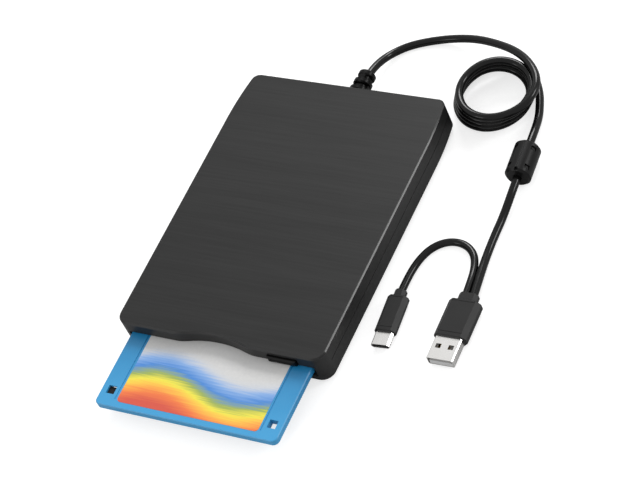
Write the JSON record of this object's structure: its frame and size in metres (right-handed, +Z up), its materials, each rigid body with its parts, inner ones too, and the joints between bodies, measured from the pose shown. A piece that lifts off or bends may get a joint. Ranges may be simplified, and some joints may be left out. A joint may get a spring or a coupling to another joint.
{
  "type": "external floppy disk drive",
  "caption": "Slim external floppy disk drive with a diskette part way in its slot, and a coiled lead with a ferrite and twin plugs.",
  "frame": {"origin": "on the resting surface, under the middle of the whole length from the diskette to the cable boot", "axes": "+X to the right seen from the slot, +Y from the slot to the cable side, +Z up"},
  "size_m": [0.1533, 0.2259, 0.0168],
  "materials": {
    "case_plastic": "fine satin texture",
    "foot_rubber": "matt",
    "screw_steel": "plain",
    "frame_steel": "bright zinc",
    "button_plastic": "satin",
    "spring_steel": "polished",
    "circuit_board": "solder mask",
    "bearing_brass": "turned",
    "coil_copper": "enamelled wire",
    "inner_plastic": "moulded",
    "head_ceramic": "lapped",
    "chip_plastic": "matt",
    "socket_plastic": "moulded",
    "wire_plastic": "plain",
    "disk_plastic": "satin",
    "shutter_steel": "brushed",
    "media_film": "oxide film",
    "liner_fabric": "felted",
    "tab_plastic": "matt",
    "label_paper": "coated",
    "boot_rubber": "glossy",
    "cable_jacket": "satin",
    "ferrite_plastic": "satin",
    "ferrite_ceramic": "sintered",
    "plug_plastic": "satin",
    "plug_nickel": "nickel plated",
    "tongue_plastic": "moulded",
    "contact_gold": "gold plated"
  },
  "bodies": {
    "drive": {"top_cover": "case_plastic", "bottom_cover": "case_plastic", "rubber_feet": "foot_rubber", "case_screws": "screw_steel", "drive_frame": "frame_steel", "frame_screws": "screw_steel", "disk_holder": "frame_steel", "plate_studs": "screw_steel", "eject_spring": "spring_steel", "motor_board": "circuit_board", "spindle_bearing": "bearing_brass", "stator": "coil_copper", "guide_rod": "spring_steel", "stepper_motor": "frame_steel", "controller_board": "circuit_board", "board_screws": "screw_steel", "board_chips": "chip_plastic", "cable_socket": "socket_plastic", "cable_wires": "wire_plastic", "sensor_switches": "chip_plastic", "strain_relief": "boot_rubber", "cable_lead": "cable_jacket", "cable_coil": "cable_jacket", "cable_tail": "cable_jacket", "pigtail": "cable_jacket", "ferrite_left_case": "ferrite_plastic", "ferrite_right_case": "ferrite_plastic", "ferrite_core": "ferrite_ceramic", "plug_a_overmould": "plug_plastic", "plug_a_shell": "plug_nickel", "plug_a_tongue": "tongue_plastic", "plug_a_contacts": "contact_gold", "plug_c_overmould": "plug_plastic", "plug_c_shell": "plug_nickel", "plug_c_tongue": "chip_plastic"},
    "diskette": {"disk_upper_shell": "disk_plastic", "disk_lower_shell": "disk_plastic", "shutter_spring": "spring_steel", "disk_liners": "liner_fabric", "disk_label": "label_paper"},
    "shutter": {"disk_shutter": "shutter_steel"},
    "disk_media_body": {"disk_hub": "shutter_steel", "disk_media": "media_film"},
    "write_tab": {"write_protect_tab": "tab_plastic"},
    "eject_slide": {"eject_button": "button_plastic", "eject_plate": "frame_steel"},
    "spindle": {"spindle_rotor": "frame_steel", "drive_pin": "spring_steel"},
    "lead_screw_body": {"lead_screw": "spring_steel"},
    "carriage": {"head_carriage": "inner_plastic", "lower_head": "head_ceramic", "hinge_pin": "spring_steel"},
    "head_arm": {"upper_head_arm": "inner_plastic", "upper_head": "head_ceramic"}
  },
  "joints": [
    {"name": "disk_insert", "type": "slide", "parent": "drive", "child": "diskette", "axis": [0, 1, 0], "range_m": [-0.0562, 0.0394]},
    {"name": "shutter_slide", "type": "slide", "parent": "diskette", "child": "shutter", "axis": [1, 0, 0], "range_m": [-0.01176, 0.00825]},
    {"name": "media_spin", "type": "hinge", "parent": "diskette", "child": "disk_media_body", "pos_m": [0, -0.0487, 0.00887], "axis": [0, 0, 1], "continuous": true},
    {"name": "write_tab_slide", "type": "slide", "parent": "diskette", "child": "write_tab", "axis": [0, 1, 0], "range_m": [0, 0.004]},
    {"name": "eject_press", "type": "slide", "parent": "drive", "child": "eject_slide", "axis": [0, 1, 0], "range_m": [0, 0.0036], "stiffness_N_per_m": 300, "springref_m": -0.003},
    {"name": "spindle_spin", "type": "hinge", "parent": "drive", "child": "spindle", "pos_m": [0, -0.0093, 0.006], "axis": [0, 0, 1], "continuous": true},
    {"name": "carriage_slide", "type": "slide", "parent": "drive", "child": "carriage", "axis": [0, 1, 0], "range_m": [-0.0148, 0]},
    {"name": "lead_screw_turn", "type": "hinge", "parent": "drive", "child": "lead_screw_body", "pos_m": [0.018, 0.0517, 0.0082], "axis": [0, 1, 0], "range_deg": [-1421, 0]},
    {"name": "head_arm_tilt", "type": "hinge", "parent": "carriage", "child": "head_arm", "pos_m": [0, 0.0557, 0.0129], "axis": [1, 0, 0], "range_deg": [0, 4], "stiffness_Nm_per_rad": 0.01, "springref_deg": -5.73}
  ],
  "couplings": [
    {"joint": "shutter_slide", "follows": "disk_insert", "ratio": 0.20921},
    {"joint": "lead_screw_turn", "follows": "carriage_slide", "rad_per_m": 1675.5}
  ]
}
